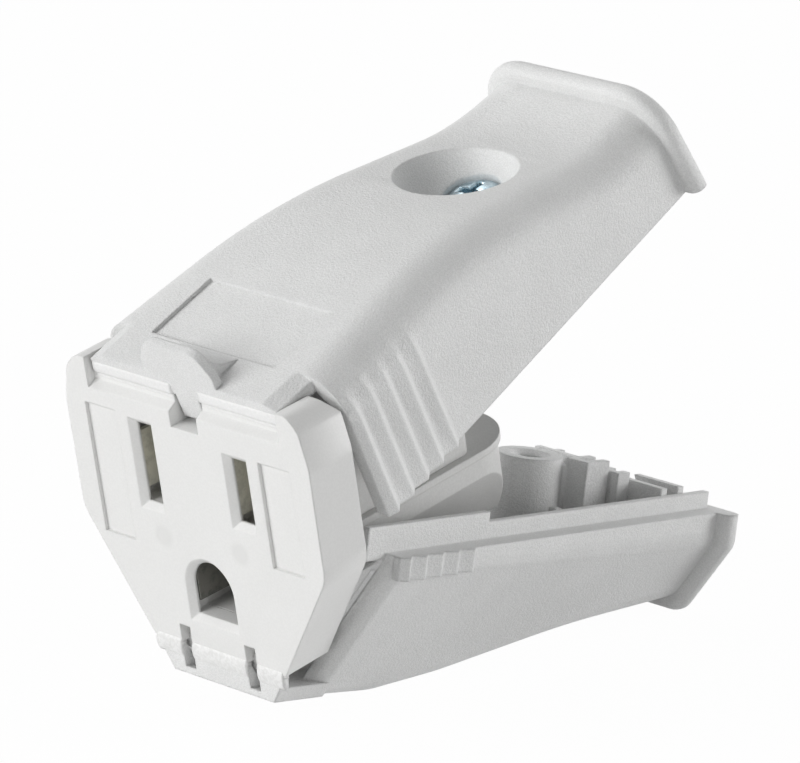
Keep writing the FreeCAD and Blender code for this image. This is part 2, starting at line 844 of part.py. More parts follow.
# Upper shell: a drafted half with its lip, thumb tab, ribs, screw tower and flange.
def make_upper_shell():
    outside = make_upper_outside()
    tower = cone("tower", size.tower_foot_radius, size.tower_top_radius, size.tower_foot, size.tower_top,
                 size.screw_y)
    bridge_half = side(bridgeY)
    bridge_foot = upperBase + size.bridge_drop
    bridge = block("bridge", -bridge_half, bridge_half, bridgeY, bridgeY + size.wall_thickness,
                   bridge_foot, size.upper_neck_top)
    core = cut("upper_core", make_upper_cavity(), [tower, bridge])
    bowl = sphere("bowl", size.bowl_radius, size.screw_y, size.bowl_bottom + size.bowl_radius)
    seat = cylinder("seat", size.seat_radius, size.seat_height, size.upper_front_top, y=size.screw_y)
    hole_radius = size.screw_radius + size.screw_clearance
    hole = cylinder("upper_screw_hole", hole_radius, size.tower_foot - openEnd, size.upper_front_top,
                    y=size.screw_y)
    cord = cylinder("upper_cord_way", size.cord_radius, bridgeY - openEnd, flangeEnd + openEnd,
                    along_y=True, z=partingZ)
    relief_start = size.shell_rear - size.end_wall
    relief_inner = side(relief_start) - size.lower_wall - size.tongue_gap
    relief_outer = side(relief_start) - size.upper_wall
    relief_end = tongueRear + size.tongue_gap / 2
    relief_top = partingZ + size.tongue_low + size.tongue_gap / 2
    relief_foot = upperBase - openEnd
    reliefs = [
        block("right_relief", relief_inner, relief_outer, relief_start, relief_end, relief_foot, relief_top),
        block("left_relief", -relief_outer, -relief_inner, relief_start, relief_end, relief_foot, relief_top),
    ]
    label_floor = size.upper_front_top - size.label_depth
    label = block("top_label", -size.top_label_half_width, size.top_label_half_width, size.top_label_start,
                  size.top_label_end, label_floor, size.upper_front_top + openEnd)
    shell = cut("upper_shell", outside, [core, bowl, seat, hole, cord, label] + reliefs)
    stand(shell, upperHinge, size.upper_open)
    return shell


def cheek(y):
    return partingZ - size.cheek_front - size.cheek_growth * (y - size.shell_front)


# The foot is the part of the keel that lies level at the stance.
footTilt = size.lower_open - size.rest_tilt
footRise = (size.foot_end - size.foot_start) * sine(footTilt) / cosine(footTilt)
footEndBottom = size.foot_bottom - footRise


# Height of the lower shell's outside from the foot to the waist and beyond.
def lower_bottom(y):
    span = (y - size.foot_end) / (size.waist_y - size.foot_end)
    return -(footEndBottom + (size.lower_waist_bottom - footEndBottom) * span)


# Everything below the keel line of the lower shell, or below a line that lies inside by a wall.
def below_keel(inset):
    low = -size.foot_bottom - 2 * openEnd
    front = size.shell_front - 2 * openEnd
    rear = size.shell_rear + openEnd
    return [
        (front, inset - size.lower_front_bottom),
        (front, low),
        (rear, low),
        (rear, inset - size.lower_rear_bottom),
        (size.waist_y, inset - size.lower_waist_bottom, size.waist_radius),
        (size.foot_end, inset - footEndBottom, size.foot_end_radius),
        (size.foot_start, inset - size.foot_bottom, size.foot_start_radius),
    ]


def lower_section(y, top, side_inset, slope_inset):
    low = -size.foot_bottom - openEnd
    corner = cheek(y) - (side_inset - slope_inset) / size.cheek_slope
    keel = side(y) - slope_inset - size.cheek_slope * (cheek(y) - low)
    return (y, symmetric([(keel, low), (side(y) - side_inset, corner), (side(y) - side_inset, top)]))


def make_lower_outside():
    body = new_body("lower_outside")
    front = size.shell_front
    low = -size.foot_bottom - openEnd
    plan = symmetric([(side(front), front), (side(size.shell_rear), size.shell_rear)])
    prism_z(body, "sides", [plan], low, partingZ)
    front_cheek = cheek(front)
    outer = shellHalf + openEnd
    keel_line = shellHalf - size.cheek_slope * (front_cheek - low)
    wedge = [(keel_line, low), (shellHalf, front_cheek), (outer, front_cheek), (outer, low)]
    right = pocket_y(body, "right_slope", [wedge], front, size.shell_rear)
    shear(right, -size.side_taper, -size.cheek_growth)
    left = pocket_y(body, "left_slope", [mirrored(wedge)], front, size.shell_rear)
    shear(left, size.side_taper, -size.cheek_growth)
    keel = pocket_x(body, "keel", below_keel(0), shellHalf)

    def on_hull(edge):
        limits = edge.BoundBox
        return limits.YLength > openEnd and limits.ZMax < partingZ.value - slack

    hull = dress("Fillet", body, keel, "hull_rounds", "Radius", size.keel_radius, on_hull)
    keel_half = shellHalf - size.cheek_slope * (front_cheek + size.lower_front_bottom)

    def on_front(edge):
        limits = edge.BoundBox
        beside = abs(limits.Center.x) > keel_half.value + size.keel_radius.value / 2
        return beside and limits.YMax < size.shell_front.value + near and limits.ZLength > near

    dress("Fillet", body, hull, "front_rounds", "Radius", size.front_round, on_front)
    flange = symmetric([
        (size.flange_keel, -size.flange_bottom),
        (flangeHalf, partingZ - size.flange_cheek),
        (flangeHalf, partingZ),
    ])
    rear = prism_y(body, "flange", [flange], flangeStart, flangeEnd)

    def on_flange(edge):
        limits = edge.BoundBox
        along = limits.YLength > size.flange_thickness.value - slack and limits.XLength < near
        return along and limits.ZMax < partingZ.value - slack and limits.YMax > flangeEnd.value - near

    rounded = dress("Fillet", body, rear, "flange_rounds", "Radius", size.flange_keel_radius, on_flange)
    dress("Fillet", body, rounded, "flange_edges", "Radius", size.flange_edge, on_flange_outline)
    front_half = shellHalf - size.cheek_slope * (front_cheek - stripTop)
    front_end = size.shell_front + size.front_wall
    trough = symmetric([
        (keel_half, stripBottom),
        (keel_half + size.cheek_slope * size.front_wall, stripBottom + size.front_wall),
    ])
    fold = size.strip_height * sine(size.lower_open) / cosine(size.lower_open)
    prism_y(body, "trough", [trough], fold, front_end)
    strips = symmetric([(keel_half, stripBottom), (front_half, stripTop)])
    strip_back = fold + size.strip_thickness
    prism_y(body, "strips", [strips], 0, strip_back)
    front = [
        (-openEnd, stripTop + openEnd),
        (size.lower_hinge_gap / 2, stripTop + openEnd),
        (size.lower_hinge_gap / 2, stripTop),
        (fold, stripBottom),
        (fold, stripBottom - openEnd),
        (-openEnd, stripBottom - openEnd),
    ]
    pocket_x(body, "strip_fronts", front, front_half + openEnd)
    back_foot = stripBottom + size.front_wall
    back = [
        (size.strip_thickness, stripTop + openEnd),
        (size.strip_thickness, stripTop),
        (strip_back, back_foot),
        (strip_back + openEnd / 2, back_foot),
        (strip_back + openEnd / 2, stripTop + openEnd),
    ]
    pocket_x(body, "strip_backs", back, front_half + openEnd)
    notch_floor = stripTop - size.hinge_notch_fall
    notch = box(size.hinge_notch_inner, size.hinge_notch_outer, notch_floor, stripTop + openEnd)
    pocket_y(body, "hinge_notches", [notch, mirrored(notch)], 0, strip_back + openEnd)
    foot = partingZ - size.tongue_root
    skirt_outer = shellHalf - size.upper_wall - size.tongue_gap - size.skirt_inset
    skirt_inner = skirt_outer - size.skirt_thickness
    skirt_bottom = partingZ - size.skirt_drop
    fall = size.cheek_slope * (front_cheek - skirt_bottom)
    skirt = [
        (skirt_inner - fall, skirt_bottom),
        (skirt_outer - fall, skirt_bottom),
        (skirt_outer, front_cheek),
        (skirt_outer, foot),
        (skirt_inner, foot),
        (skirt_inner, front_cheek),
    ]
    skirt_front = size.skirt_front - openEnd
    prism_y(body, "skirts", [skirt, mirrored(skirt)], skirt_front, size.shell_front + size.skirt_lap)
    skirt_cut = [
        (skirt_front, foot),
        (size.skirt_notch, foot),
        (size.skirt_front, foot - size.skirt_notch_drop),
        (size.skirt_foot, skirt_bottom),
        (skirt_front, skirt_bottom),
    ]
    pocket_x(body, "skirt_fronts", skirt_cut, shellHalf)

    def tongue(start, end):
        def outer(y):
            return side(y) - size.upper_wall - size.tongue_gap

        def inner(y):
            return side(y) - size.lower_wall

        points = [(inner(start), start), (outer(start), start), (outer(end), end), (inner(end), end)]
        return [points, mirrored(points)]

    front_tongue = tongue(size.tongue_front, size.tongue_step)
    rear_tongue = tongue(size.tongue_step, tongueRear)
    prism_z(body, "front_tongues", front_tongue, foot, partingZ + size.tongue_high)
    prism_z(body, "rear_tongues", rear_tongue, foot, partingZ + size.tongue_low)
    comb = rib_comb(upperBase, lift(0), size.rib_rise)
    prism_z(body, "ribs", [comb, mirrored(comb)], partingZ - size.lower_rib_length, partingZ)
    return body


def make_lower_cavity():
    body = new_body("lower_cavity")
    ends = (size.shell_front - openEnd, size.shell_rear - size.end_wall)
    above = partingZ + openEnd
    loft(body, "sides", [lower_section(y, above, size.lower_wall, size.slope_wall) for y in ends])
    pocket_x(body, "floor", below_keel(size.floor_thickness), shellHalf)
    return body


# A cord grip post: three walls, open to the rear.
def grip_post(name, inner, start, length, top):
    body = new_body(name)
    outer = inner + size.post_width
    end = start + length
    wall = size.post_wall
    points = [
        (inner, start),
        (outer, start),
        (outer, end),
        (outer - wall, end),
        (outer - wall, start + wall),
        (inner + wall, start + wall),
        (inner + wall, end),
        (inner, end),
    ]
    foot = lower_bottom(start) + size.floor_thickness / 2
    prism_z(body, name + "_walls", [points], foot, -top)
    return body


# Lower shell: a drafted trough with hinge strips, tongue, screw boss and cord grips.
def make_lower_shell():
    outside = make_lower_outside()
    first_wall = size.shell_rear - size.first_wall_back
    walls = []
    uppers = []
    for name, y in (("first_wall", first_wall), ("second_wall", size.shell_rear - size.second_wall_back)):
        half = side(y) - size.lower_wall
        end = y + size.wall_thickness
        walls.append(block(name, -side(y), side(y), y, end, -size.foot_bottom, partingZ + openEnd))
        foot = partingZ - size.tongue_root
        uppers.append(block(name + "_top", -half, half, y, end, foot, partingZ + size.wall_rise))
    core = cut("lower_core", make_lower_cavity(), walls)
    boss_top = size.tower_foot - size.boss_gap
    boss_foot = lower_bottom(size.screw_y) + size.floor_thickness / 2
    boss_base = size.boss_radius + size.boss_flare
    boss = cone("boss", boss_base, size.boss_radius, boss_foot, boss_top, size.screw_y)
    web_y = size.screw_y + size.boss_radius - size.web_thickness
    web = new_body("web")
    web_foot = lower_bottom(web_y) + size.floor_thickness / 2
    web_top = boss_top - size.web_drop
    plate = symmetric([(size.web_half_width, web_foot), (size.web_half_width, web_top, size.web_corner)])
    prism_y(web, "web_plate", [plate], web_y, web_y + size.web_thickness)
    finger_end = size.finger_x + size.finger_width
    finger = block("finger", size.finger_x, finger_end, size.screw_y - size.finger_width, size.screw_y,
                   boss_foot, boss_top - size.finger_drop)
    posts = grip_post("front_posts", size.post_inner, size.post_start, size.post_length, size.post_top)
    rear_inner = size.post_inner + size.rear_post_shift
    rear_posts = grip_post("rear_posts", rear_inner, size.rear_post_start, size.rear_post_length,
                           size.rear_post_top)
    hollow = cut("lower_hollow", outside, [core])
    filled = fuse("lower_filled", [hollow, boss, web, finger, posts, rear_posts] + uppers)
    hole_radius = size.screw_radius + size.screw_clearance
    hole_end = boss_top - size.boss_hole_depth
    hole = cylinder("boss_hole", hole_radius, hole_end, boss_top + openEnd, y=size.screw_y)
    cord = cylinder("lower_cord_way", size.cord_radius, first_wall - openEnd, flangeEnd + openEnd,
                    along_y=True, z=partingZ)
    mouth_radius = hole_radius + size.boss_mouth
    mouth = cone("boss_mouth", hole_radius, mouth_radius, boss_top - size.boss_mouth, boss_top, size.screw_y)
    shell = cut("lower_shell", filled, [hole, mouth, cord])
    stand(shell, lowerHinge, -size.lower_open)
    return shell


# Contact block behind the face: a cover that holds the blade contacts and a base for the ground.
def make_carrier_cover():
    body = new_body("carrier_cover")
    plan = symmetric([
        (size.cover_half_width, size.face_thickness),
        (size.cover_half_width, size.cover_end, size.cover_corner),
    ])
    prism_z(body, "cover_block", [plan], -size.block_split, size.block_top)
    pocket_y(body, "cells", blade_cells(), size.face_thickness, size.cell_end)
    well = box(size.terminal_x - size.well_half_width, size.terminal_x + size.well_half_width,
               size.well_start, size.well_end)
    pocket_z(body, "wells", [well, mirrored(well)], size.plate_floor, size.block_top)
    shaft_half = size.terminal_screw_radius + size.screw_clearance
    shaft = box(size.terminal_x - shaft_half, size.terminal_x + shaft_half,
                size.terminal_y - shaft_half, size.terminal_y + shaft_half)
    pocket_z(body, "screw_ways", [shaft, mirrored(shaft)], -size.shank_depth, size.plate_floor)
    stand(body)
    return body


def make_carrier_base():
    body = new_body("carrier_base")

    def tray(half, end, corner):
        return symmetric([(half, size.face_thickness), (half, end, corner)])

    base = tray(size.base_half_width, size.base_end, size.base_corner)
    prism_z(body, "base_block", [base], -size.base_bottom, -size.block_split)
    bead = tray(size.base_half_width + size.bead_width, size.base_end + size.bead_width,
                size.base_corner + size.bead_width)
    prism_z(body, "bead", [bead], -size.block_split - size.bead_height, -size.block_split)
    cheek_cut = [
        (size.base_keel, -size.base_bottom - openEnd),
        (size.base_half_width + openEnd, -size.base_bottom - openEnd),
        (size.base_half_width + openEnd, -size.base_cheek),
        (size.base_half_width, -size.base_cheek),
        (size.base_keel, -size.base_bottom),
    ]
    pocket_y(body, "cheeks", [cheek_cut, mirrored(cheek_cut)], 0, size.base_end + openEnd)
    pocket_y(body, "ground_cell", [ground_cell()], size.face_thickness, size.cell_end)
    plate_top = groundZ - size.ground_plate_drop + size.plate_thickness
    well = box(-size.well_half_width, size.well_half_width, size.well_start, size.well_end)
    pocket_z(body, "ground_well", [well], -size.base_bottom, plate_top)
    shaft_half = size.terminal_screw_radius + size.screw_clearance
    shaft = box(-shaft_half, shaft_half, size.terminal_y - shaft_half, size.terminal_y + shaft_half)
    pocket_z(body, "ground_screw_way", [shaft], plate_top, -size.block_split - size.terminal_fit)
    stand(body)
    return body


# Spring clip in plan: two leaves that pinch the blade, joined at the back.
def clip_outline(x, mouth, pinch, back):
    leaf = size.contact_thickness
    front = size.face_skin + size.contact_gap
    middle = size.contact_pinch_y
    end = size.contact_end
    return [
        (x + mouth, front),
        (x + pinch, middle),
        (x + back, end),
        (x - back, end),
        (x - pinch, middle),
        (x - mouth, front),
        (x - mouth - leaf, front),
        (x - pinch - leaf, middle),
        (x - back - leaf, end + leaf),
        (x + back + leaf, end + leaf),
        (x + pinch + leaf, middle),
        (x + mouth + leaf, front),
    ]


# Terminal plate in plan, with the tail that joins it to the clip.
def plate_outline(clip_x, plate_x):
    tail = size.tail_half_width
    half = size.plate_half_width
    return [
        (clip_x - tail, size.contact_end),
        (clip_x + tail, size.contact_end),
        (clip_x + tail, size.plate_front),
        (plate_x + half, size.plate_front),
        (plate_x + half, size.plate_back),
        (plate_x - half, size.plate_back),
        (plate_x - half, size.plate_front),
        (clip_x - tail, size.plate_front),
    ]


def plate_hole(name, x):
    radius = size.terminal_screw_radius + size.terminal_fit
    start = -size.base_bottom - openEnd
    return cylinder(name, radius, start, size.block_top + openEnd, x=x, y=size.terminal_y)


def make_contact(name, x, plate_x, z, mouth, pinch, back, half_height, floor):
    body = new_body(name + "_blank")
    prism_z(body, "clip", [clip_outline(x, mouth, pinch, back)], z - half_height, z + half_height)
    prism_z(body, "plate", [plate_outline(x, plate_x)], floor, floor + size.plate_thickness)
    contact = cut(name, body, [plate_hole(name + "_hole", plate_x)])
    stand(contact)
    return contact


def make_clamp_plate(name, x, z0):
    half = size.clamp_half_width
    plate = block(name + "_blank", x - half, x + half, size.terminal_y - half, size.terminal_y + half,
                  z0, z0 + size.clamp_thickness)
    clamp = cut(name, plate, [plate_hole(name + "_hole", x)])
    stand(clamp)
    return clamp


# A round-headed screw with a driving slot, its head on the side that sign points to.
def make_terminal_screw(name, x, head_seat, sign, shank_length):
    head_top = head_seat + sign * size.terminal_head_height
    tip = head_seat - sign * shank_length
    low, high = (head_seat, head_top) if sign > 0 else (head_top, head_seat)
    foot, neck = (tip, head_seat) if sign > 0 else (head_seat, tip)
    head = cylinder(name + "_head", size.terminal_head_radius, low, high, x=x, y=size.terminal_y)
    shank = cylinder(name + "_shank", size.terminal_screw_radius, foot, neck, x=x, y=size.terminal_y)
    reach = size.terminal_head_radius + openEnd
    half = size.terminal_slot_width / 2
    slot_floor = head_top - sign * size.terminal_slot_depth
    slot_end = head_top + sign * openEnd
    slot_low, slot_high = (slot_floor, slot_end) if sign > 0 else (slot_end, slot_floor)
    slot = block(name + "_slot", x - reach, x + reach, size.terminal_y - half, size.terminal_y + half,
                 slot_low, slot_high)
    screw = cut(name, fuse(name + "_blank", [shank, head]), [slot])
    stand(screw)
    return screw


# Assembly screw with a combination head, held in the upper shell.
def make_assembly_screw():
    seat = size.seat_height
    head_top = seat + size.screw_head_height
    head = cylinder("assembly_head", size.screw_head_radius, seat, head_top, y=size.screw_y)
    dome_radius = (size.screw_head_radius * size.screw_head_radius / size.screw_dome + size.screw_dome) / 2
    dome = sphere("assembly_dome", dome_radius, size.screw_y, head_top - dome_radius)
    domed = doc.addObject("Part::MultiCommon", "assembly_domed")
    domed.Shapes = [head, dome]
    shank = cylinder("assembly_shank", size.screw_radius, -size.screw_tip, seat, y=size.screw_y)
    half = size.drive_width / 2
    reach = size.screw_head_radius + openEnd
    floor = head_top - size.drive_depth
    above = head_top + openEnd
    slot = block("assembly_slot", -reach, reach, size.screw_y - half, size.screw_y + half, floor, above)
    cross_start = size.screw_y - size.cross_reach
    cross_end = size.screw_y + size.cross_reach
    cross = block("assembly_cross", -half, half, cross_start, cross_end, floor, above)
    screw = cut("assembly_screw", fuse("assembly_blank", [shank, domed]), [slot, cross])
    stand(screw, upperHinge, size.upper_open)
    return screw


def make_terminals():
    pieces = []
    clamp_z = size.plate_floor + size.plate_thickness + size.wire_gap
    head_seat = clamp_z + size.clamp_thickness
    shank = head_seat + size.terminal_shank_end
    blade = (size.contact_mouth, size.contact_pinch, size.contact_back, size.contact_half_height)
    for name, sign in (("hot", 1), ("neutral", -1)):
        x = sign * size.terminal_x
        pieces.append(make_contact(name + "_contact", sign * slotX, x, lift(0), *blade, size.plate_floor))
        pieces.append(make_clamp_plate(name + "_clamp_plate", x, clamp_z))
        pieces.append(make_terminal_screw(name + "_terminal_screw", x, head_seat, 1, shank))
    ground = (size.ground_mouth, size.ground_pinch, size.ground_back, size.ground_half_height)
    floor = groundZ - size.ground_plate_drop
    clamp_top = floor - size.wire_gap
    seat = clamp_top - size.clamp_thickness
    ground_shank = seat * -1 - size.block_split - size.terminal_shank_end
    pieces.append(make_contact("ground_contact", lift(0), lift(0), groundZ, *ground, floor))
    pieces.append(make_clamp_plate("ground_clamp_plate", lift(0), seat))
    pieces.append(make_terminal_screw("ground_terminal_screw", lift(0), seat, -1, ground_shank))
    return pieces


pieces = [
    make_face(),
    make_upper_shell(),
    make_lower_shell(),
    make_assembly_screw(),
    make_carrier_cover(),
    make_carrier_base(),
]
pieces += make_terminals()
doc.recompute()

for item in doc.Objects:
    if "Invalid" in item.State or "Error" in item.State:
        raise RuntimeError(f"{item.Label} failed: {item.State}")
for piece in pieces:
    if piece.Shape.isNull() or not piece.Shape.isValid():
        raise RuntimeError(f"{piece.Label} has no valid shape")

os.makedirs("parts", exist_ok=True)
for piece in pieces:
    piece.Shape.exportStep(f"parts/{piece.Label}.step")
    print(f"{piece.Label}: {piece.Shape.Volume:.1f} mm3, {len(piece.Shape.Solids)} solid")
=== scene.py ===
import json
import math

import bmesh
import bpy
from mathutils import Euler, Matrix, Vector, noise


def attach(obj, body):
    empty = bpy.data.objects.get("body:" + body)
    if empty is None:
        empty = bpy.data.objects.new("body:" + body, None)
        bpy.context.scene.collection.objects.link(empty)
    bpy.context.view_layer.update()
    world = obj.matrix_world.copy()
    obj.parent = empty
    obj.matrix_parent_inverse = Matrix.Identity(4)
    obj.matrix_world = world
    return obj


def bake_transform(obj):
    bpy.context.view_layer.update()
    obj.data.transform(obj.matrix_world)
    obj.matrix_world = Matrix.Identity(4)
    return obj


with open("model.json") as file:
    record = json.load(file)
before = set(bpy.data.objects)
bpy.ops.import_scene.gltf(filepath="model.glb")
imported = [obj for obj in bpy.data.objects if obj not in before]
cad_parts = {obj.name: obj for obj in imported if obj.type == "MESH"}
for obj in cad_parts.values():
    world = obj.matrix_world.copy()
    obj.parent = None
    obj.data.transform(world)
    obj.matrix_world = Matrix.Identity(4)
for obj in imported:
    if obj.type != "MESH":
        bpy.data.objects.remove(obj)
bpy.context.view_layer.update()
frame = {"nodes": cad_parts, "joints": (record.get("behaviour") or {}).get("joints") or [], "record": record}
nodes = frame["nodes"]
joints = {joint["name"]: joint for joint in frame["joints"]}
millimetre = 0.001
print("frame loaded:", len(nodes), "nodes")


class Wire:  # a shader socket that takes plain arithmetic
    def __init__(self, finish, socket):
        self.finish = finish
        self.socket = socket

    def maths(self, operation, first, second):
        return self.finish.add("ShaderNodeMath", {"operation": operation}, {0: first, 1: second})

    def __add__(self, other):
        return self.maths("ADD", self, other)

    def __radd__(self, other):
        return self.maths("ADD", other, self)

    def __sub__(self, other):
        return self.maths("SUBTRACT", self, other)

    def __rsub__(self, other):
        return self.maths("SUBTRACT", other, self)

    def __mul__(self, other):
        return self.maths("MULTIPLY", self, other)

    def __rmul__(self, other):
        return self.maths("MULTIPLY", other, self)


class Finish:  # the node tree of one material, or of the world
    def __init__(self, owner, outputKind="ShaderNodeOutputMaterial"):
        self.owner = owner
        owner.use_nodes = True
        self.tree = owner.node_tree
        self.tree.nodes.clear()
        self.output = self.tree.nodes.new(outputKind)

    def add(self, kind, settings=None, inputs=None, output=0):
        node = self.tree.nodes.new(kind)
        for key, value in (settings or {}).items():
            setattr(node, key, value)
        for key, value in (inputs or {}).items():
            self.feed(node.inputs[key], value)
        return Wire(self, node.outputs[output])

    def feed(self, socket, value):
        if isinstance(value, Wire):
            self.tree.links.new(value.socket, socket)
        else:
            socket.default_value = value

    def surface(self, shader):
        self.tree.links.new(shader.socket, self.output.inputs["Surface"])
        return self.owner

    def principled(self, inputs):
        return self.surface(self.add("ShaderNodeBsdfPrincipled", {}, inputs))

    def place(self):
        return self.add("ShaderNodeTexCoord", {}, {}, "Object")

    def distance(self, place, spot):
        settings = {"operation": "DISTANCE"}
        return self.add("ShaderNodeVectorMath", settings, {0: place, 1: spot}, "Value")

    def stretch(self, place, scale):
        settings = {"operation": "MULTIPLY"}
        return self.add("ShaderNodeVectorMath", settings, {0: place, 1: scale})

    def cloud(self, place, size, detail, roughness):
        settings = {"noise_dimensions": "3D"}
        inputs = {"Vector": place, "Scale": 1 / size, "Detail": detail, "Roughness": roughness}
        return self.add("ShaderNodeTexNoise", settings, inputs)

    def smooth(self, value, low, high):  # 0 below low, 1 above high
        settings = {"interpolation_type": "SMOOTHSTEP"}
        inputs = {"Value": value, "From Min": low, "From Max": high, "To Min": 0.0, "To Max": 1.0}
        return self.add("ShaderNodeMapRange", settings, inputs)

    def blendColour(self, factor, first, second):  # 6, 7 and 2 are the Mix node's colour sockets
        return self.add("ShaderNodeMix", {"data_type": "RGBA"}, {0: factor, 6: first, 7: second}, 2)


def colour(red, green, blue):
    return (red, green, blue, 1.0)


noiseMiddle = 0.5


# Moulded white nylon: fine sparkled grain, faint mottling, softened edges and ejector marks, each a shallow
# dimple with painted shade.
def mouldedNylon(name, look):
    finish = Finish(bpy.data.materials.new(name))
    place = finish.place()
    grain = finish.cloud(place, look["grainSize"], *look["grainCloud"])
    speckle = finish.cloud(place, look["grainSize"] * look["speckleScale"], *look["speckleCloud"])
    mottle = finish.cloud(place, look["mottleSize"], *look["mottleCloud"])
    tone = (finish.smooth(mottle, *look["mottleRange"]) * look["mottleShare"]
            + finish.smooth(speckle, *look["speckleRange"]) * (1 - look["mottleShare"]))
    body = finish.blendColour(tone, look["shade"], look["colour"])
    relief = grain * look["grainShare"] + speckle * (1 - look["grainShare"])
    roughness = look["roughness"] + (grain - noiseMiddle) * look["roughnessSwing"]
    for mark in look["marks"]:
        outside = finish.smooth(finish.distance(place, mark["place"]), mark["inner"], mark["outer"])
        relief = relief + outside * mark["rise"]
        # inside each ejector mark the colour turns to painted shade, a darker disc standing in for the
        # shading of the dimple
        body = finish.blendColour(outside, mark["paintedShade"], body)
    rounded = finish.add("ShaderNodeBevel", {"samples": look["edgeSamples"]},
                         {"Radius": look["edgeRadius"]})
    bump = finish.add("ShaderNodeBump", {}, {
        "Strength": look["grainStrength"], "Distance": look["grainDepth"],
        "Height": relief, "Normal": rounded,
    })
    return finish.principled({
        "Base Color": body, "Roughness": roughness, "IOR": look["ior"], "Normal": bump,
    })


# Plated or rolled metal: fine drawn lines, dull patches and a tint that drifts.
def platedMetal(name, look):
    finish = Finish(bpy.data.materials.new(name))
    place = finish.place()
    lines = finish.cloud(finish.stretch(place, look["drawn"]), look["lineSize"], *look["lineCloud"])
    patches = finish.cloud(place, look["patchSize"], *look["patchCloud"])
    dull = finish.smooth(patches, *look["patchRange"])
    body = finish.blendColour(dull, look["colour"], look["dull"])
    swing = (lines - noiseMiddle) * look["lineSwing"]
    roughness = look["roughness"] + dull * look["dullRoughness"] + swing
    bump = finish.add("ShaderNodeBump", {}, {
        "Strength": look["lineStrength"], "Distance": look["lineDepth"], "Height": lines,
    })
    return finish.principled({
        "Base Color": body, "Metallic": look["metal"], "Roughness": roughness, "Normal": bump,
    })


faceMount = frame["record"]["mounts"][0]
faceOrigin = Vector(faceMount["pos_m"])
rightward = Vector((1, 0, 0))
inward = -Vector(faceMount["axis"])
upward = rightward.cross(inward)


def onFace(x, y, z):  # millimetres right of, behind and above the point between the blade slots
    return faceOrigin + (rightward * x + inward * y + upward * z) * millimetre


nylonLook = {  # lengths in metres, clouds as detail and roughness
    "colour": colour(0.815, 0.818, 0.813),
    "shade": colour(0.715, 0.718, 0.713),
    "grainSize": 0.0003,
    "grainCloud": (3.0, 0.62),
    "grainDepth": 0.00014,
    "grainStrength": 0.9,
    "grainShare": 0.65,
    "speckleScale": 0.45,
    "speckleCloud": (1.0, 0.5),
    "speckleRange": (0.4, 0.62),
    "mottleSize": 0.006,
    "mottleCloud": (3.0, 0.55),
    "mottleRange": (0.35, 0.65),
    "mottleShare": 0.25,
    "edgeRadius": 0.0004,
    "edgeSamples": 4,
    "roughness": 0.46,
    "roughnessSwing": 0.22,
    "ior": 1.53,
    "marks": (),
}
smoothLook = dict(
    nylonLook, grainStrength=0.16, grainSize=0.0005, grainDepth=0.00009,
    roughness=0.42, roughnessSwing=0.1, edgeRadius=0.00025,
)
ejectorMark = {  # radii in metres, rise in grain depths
    "inner": 0.0007,
    "outer": 0.00155,
    "rise": 4.5,
    # painted shade: the darker colour inside the mark, standing in for the shading of its dimple
    "paintedShade": colour(0.735, 0.735, 0.725),
}
ejectorPlaces = ((-5.3, -7.4), (5.3, -6.7))  # right and height on the face, in millimetres
faceLook = dict(
    smoothLook, colour=colour(0.795, 0.795, 0.785), shade=colour(0.77, 0.77, 0.76),
    marks=[dict(ejectorMark, place=tuple(onFace(x, 0, z))) for x, z in ejectorPlaces],
)
# darker nylon for the carrier: partly its own duller tone, partly painted shade from the shells over it
carrierToneAndShadeLook = dict(smoothLook, colour=colour(0.67, 0.67, 0.66), shade=colour(0.63, 0.63, 0.62))
webLook = dict(
    smoothLook, colour=colour(0.84, 0.84, 0.835), shade=colour(0.75, 0.75, 0.74),
    grainSize=0.0007, grainStrength=0.5, grainDepth=0.00014, roughness=0.34,
)
rolledLook = dict(
    smoothLook, colour=colour(0.835, 0.835, 0.83), shade=colour(0.8, 0.8, 0.795), grainStrength=0.2,
)
zincLook = {  # units as for the nylon
    "colour": colour(0.46, 0.56, 0.61),
    "dull": colour(0.20, 0.28, 0.32),
    "metal": 1.0,
    "drawn": (1.0, 1.0, 6.0),
    "lineSize": 0.0006,
    "lineCloud": (4.0, 0.6),
    "lineSwing": 0.12,
    "lineDepth": 0.00002,
    "lineStrength": 0.35,
    "patchSize": 0.0012,
    "patchCloud": (3.0, 0.6),
    "patchRange": (0.42, 0.66),
    "roughness": 0.2,
    "dullRoughness": 0.14,
}
steelLook = dict(zincLook, colour=colour(0.66, 0.67, 0.67), dull=colour(0.5, 0.5, 0.48))
brassLook = dict(
    zincLook, colour=colour(0.78, 0.765, 0.68), dull=colour(0.62, 0.61, 0.54),
    metal=0.5, roughness=0.42,
)
# The ground contact's brass with painted shade: a dark copy standing in for the shade deep in its hole.
brassPaintedShadeLook = dict(
    brassLook, colour=colour(0.27, 0.265, 0.24), dull=colour(0.2, 0.2, 0.185), metal=0.7,
)

finishes = {
    "shell": mouldedNylon("sparkledNylon", nylonLook),
    "face": mouldedNylon("satinNylon", faceLook),
    "inner": mouldedNylon("smoothNylonAndPaintedShade", carrierToneAndShadeLook),
    "web": mouldedNylon("creasedNylon", webLook),
    "rolled": mouldedNylon("rolledNylon", rolledLook),
    "zinc": platedMetal("blueZinc", zincLook),
    "steel": platedMetal("terminalSteel", steelLook),
    "brass": platedMetal("contactBrass", brassLook),
    "brassPaintedShade": platedMetal("groundBrassPaintedShade", brassPaintedShadeLook),
}
print("finishes made:", len(finishes))


